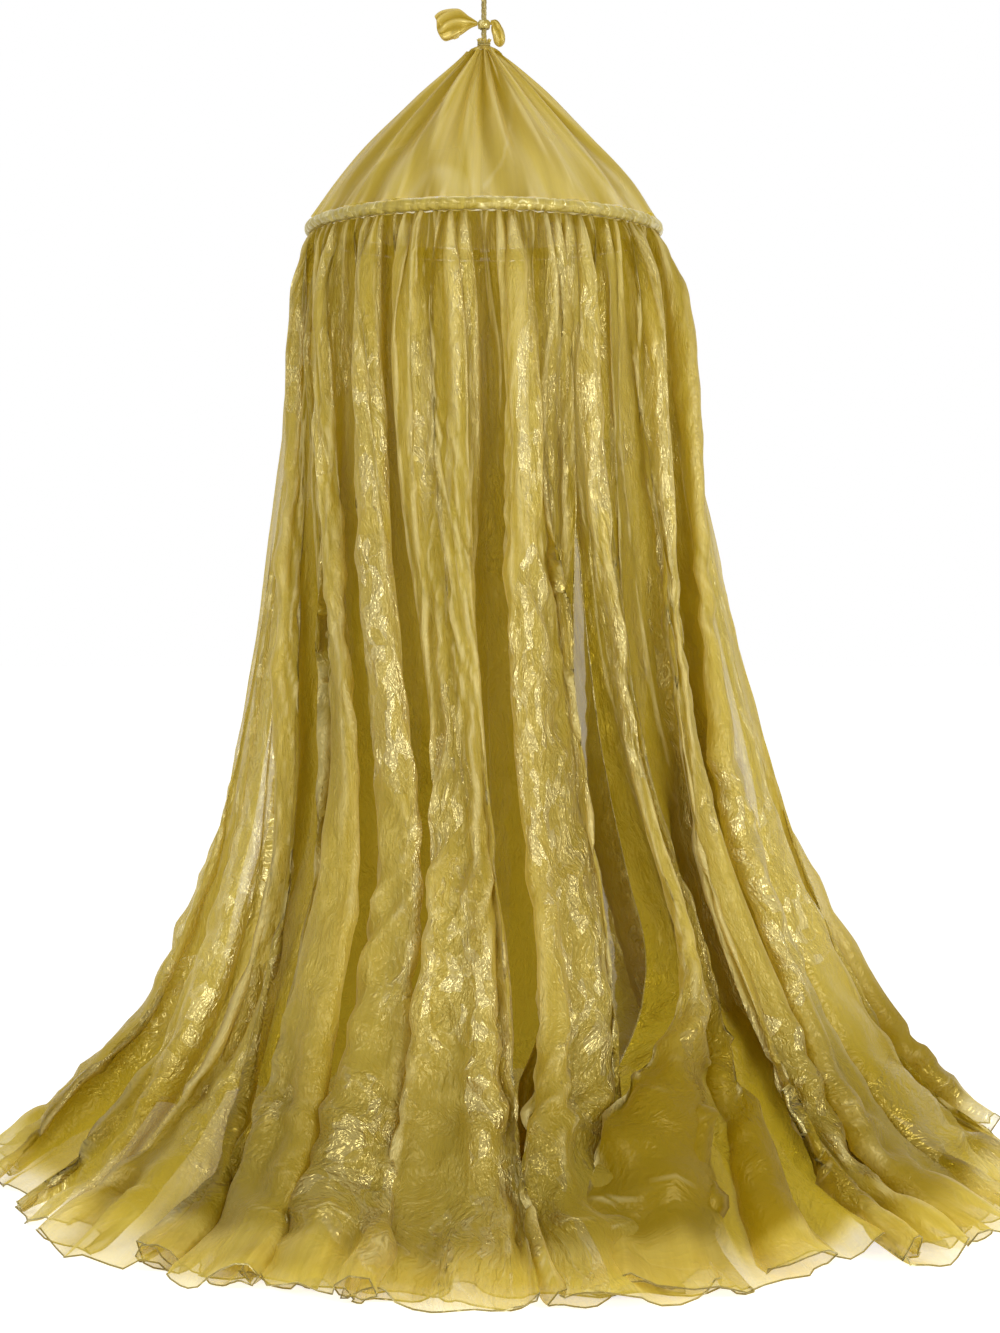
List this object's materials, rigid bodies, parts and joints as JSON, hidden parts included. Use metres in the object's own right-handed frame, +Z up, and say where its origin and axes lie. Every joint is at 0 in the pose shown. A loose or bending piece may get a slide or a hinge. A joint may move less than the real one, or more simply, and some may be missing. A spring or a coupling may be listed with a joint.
{
  "type": "bed crown canopy",
  "caption": "Hanging bed crown canopy: sheer cloth cone over a round hoop, with long gathered curtains that part at an entry slit and pool on the floor.",
  "frame": {"origin": "hang point: the inner top of the hanging cord's eye, where a ceiling hook carries it", "axes": "+Z up along the cord, -Y towards the front, where the entry slit is, +X to the viewer's right"},
  "size_m": [1.7335, 1.731, 2.0592],
  "materials": {
    "organza": "sheer, glossy",
    "band": "gathered, satin",
    "rope": "twisted, satin",
    "ferrule": "moulded",
    "rod": "satin"
  },
  "bodies": {
    "hanger": {"hanging_loop": "rope", "loop_knot": "rope", "hanging_cord": "rope", "stopper_knot": "rope"},
    "canopy": {"neck_gather": "organza", "neck_binding": "band", "bow_knot": "organza", "bow_loop_left": "organza", "bow_loop_right": "organza", "crown_cone": "organza", "hoop_casing": "band", "hoop_segment_1": "rod", "hoop_segment_2": "rod", "hoop_segment_3": "rod", "hoop_segment_4": "rod", "hoop_connector_1": "ferrule", "hoop_connector_2": "ferrule", "hoop_connector_3": "ferrule", "hoop_connector_4": "ferrule", "curtain_left_front": "organza", "curtain_left_side": "organza", "curtain_left_back": "organza", "curtain_right_front": "organza", "curtain_right_side": "organza", "curtain_right_back": "organza"}
  },
  "joints": [
    {"name": "cord_twist", "type": "hinge", "parent": "hanger", "child": "canopy", "pos_m": [0, 0, 0], "axis": [0, 0, 1], "range_deg": [-180, 180]}
  ]
}
